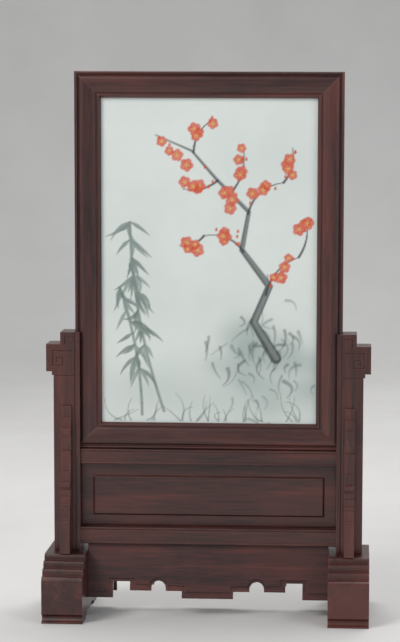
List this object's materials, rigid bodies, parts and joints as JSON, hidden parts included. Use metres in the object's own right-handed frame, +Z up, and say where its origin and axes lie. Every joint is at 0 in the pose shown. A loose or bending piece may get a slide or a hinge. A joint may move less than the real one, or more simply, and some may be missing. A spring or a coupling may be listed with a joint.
{
  "type": "table screen with porcelain plaque",
  "caption": "Upright rectangular porcelain plaque in a moulded mitred hardwood frame that drops into the grooved posts of a footed stand.",
  "frame": {"origin": "on the table, under the middle of the two feet", "axes": "+Z up, -Y is the front that shows the plaque, +X to the viewer's right"},
  "size_m": [0.3772, 0.132, 0.634],
  "materials": {
    "hardwood": "satin polished dark reddish hardwood",
    "porcelain": "clear glaze",
    "plain_wood": "plain planed wood"
  },
  "bodies": {
    "stand": {"foot_left": "hardwood", "foot_right": "hardwood", "post_left": "hardwood", "post_right": "hardwood", "spandrel_front_left": "hardwood", "spandrel_front_right": "hardwood", "spandrel_rear_left": "hardwood", "spandrel_rear_right": "hardwood", "upper_rail": "hardwood", "lower_rail": "hardwood", "waist_panel": "hardwood", "apron_front": "hardwood", "apron_rear": "hardwood"},
    "screen": {"frame_top_rail": "hardwood", "frame_bottom_rail": "hardwood", "frame_stile_left": "hardwood", "frame_stile_right": "hardwood", "porcelain_plaque": "porcelain", "back_board": "plain_wood", "retaining_strip_top": "plain_wood", "retaining_strip_bottom": "plain_wood", "retaining_strip_left": "plain_wood", "retaining_strip_right": "plain_wood"}
  },
  "joints": [
    {"name": "screen_lift", "type": "slide", "parent": "stand", "child": "screen", "axis": [0, 0, 1], "range_m": [0, 0.15]}
  ]
}
